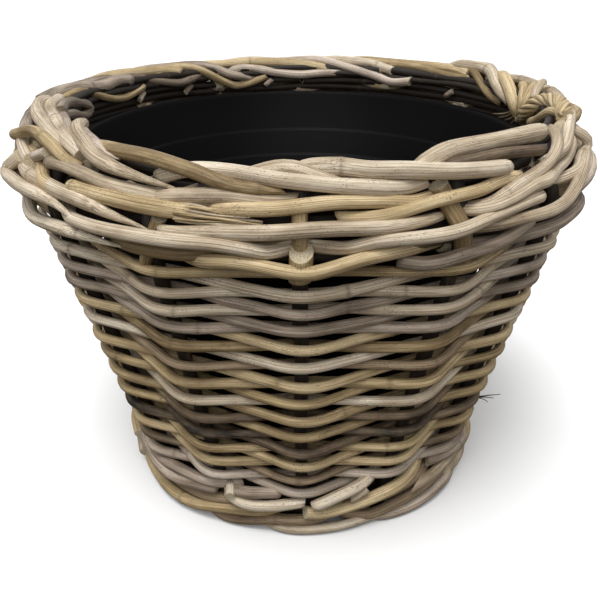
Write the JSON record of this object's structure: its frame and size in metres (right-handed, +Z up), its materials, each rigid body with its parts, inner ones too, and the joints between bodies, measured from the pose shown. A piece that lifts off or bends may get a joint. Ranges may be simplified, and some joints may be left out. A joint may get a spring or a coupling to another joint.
{
  "type": "rattan planter basket",
  "caption": "Round tapered planter basket of woven rattan rods with a rolled border and a black plastic liner pot that lifts out.",
  "frame": {"origin": "centre of the circle on the ground that the basket stands on", "axes": "+Z up along the basket's axis, -Y towards the front of the picture, +X to the right"},
  "size_m": [0.4266, 0.4258, 0.2994],
  "materials": {
    "pale_rattan": "matte, dry weathered rattan skin, pale grey beige",
    "gold_rattan": "matte to satin rattan skin, warm straw brown",
    "grey_rattan": "matte weathered rattan skin, grey with a mauve cast",
    "dark_rattan": "matte weathered rattan, darker brown grey",
    "liner_plastic": "satin black thin plastic"
  },
  "bodies": {
    "basket": {"base_mat": "dark_rattan", "base_stick_lower_1": "dark_rattan", "base_stick_lower_2": "dark_rattan", "base_stick_upper_1": "dark_rattan", "base_stick_upper_2": "dark_rattan", "border_rod_01": "pale_rattan", "border_rod_02": "gold_rattan", "border_rod_03": "pale_rattan", "border_rod_04": "pale_rattan", "border_rod_05": "gold_rattan", "border_rod_06": "pale_rattan", "border_rod_07": "pale_rattan", "border_rod_08": "gold_rattan", "border_rod_09": "pale_rattan", "border_rod_10": "pale_rattan", "border_rod_11": "gold_rattan", "border_rod_12": "pale_rattan", "border_rod_13": "pale_rattan", "border_rod_14": "gold_rattan", "foot_rod_a": "grey_rattan", "foot_rod_b": "pale_rattan", "foot_rod_c": "dark_rattan", "upright_01": "dark_rattan", "upright_02": "dark_rattan", "upright_03": "dark_rattan", "upright_04": "dark_rattan", "upright_05": "dark_rattan", "upright_06": "dark_rattan", "upright_07": "dark_rattan", "upright_08": "dark_rattan", "upright_09": "dark_rattan", "upright_10": "dark_rattan", "upright_11": "dark_rattan", "upright_12": "dark_rattan", "upright_13": "dark_rattan", "upright_14": "dark_rattan", "upsett_rod_a": "pale_rattan", "upsett_rod_b": "gold_rattan", "upsett_rod_c": "grey_rattan", "wale_rod_1_a": "pale_rattan", "wale_rod_1_b": "grey_rattan", "wale_rod_1_c": "gold_rattan", "wale_rod_2_a": "pale_rattan", "wale_rod_2_b": "grey_rattan", "wale_rod_2_c": "gold_rattan", "weaver_a_1": "gold_rattan", "weaver_a_2": "gold_rattan", "weaver_a_3": "gold_rattan", "weaver_a_4": "gold_rattan", "weaver_a_5": "gold_rattan", "weaver_b_1": "grey_rattan", "weaver_b_2": "grey_rattan", "weaver_b_3": "grey_rattan", "weaver_b_4": "grey_rattan", "weaver_b_5": "grey_rattan"},
    "liner": {"liner_pot": "liner_plastic"}
  },
  "joints": [
    {"name": "liner_lift", "type": "slide", "parent": "basket", "child": "liner", "axis": [0, 0, 1], "range_m": [0, 0.3]}
  ]
}
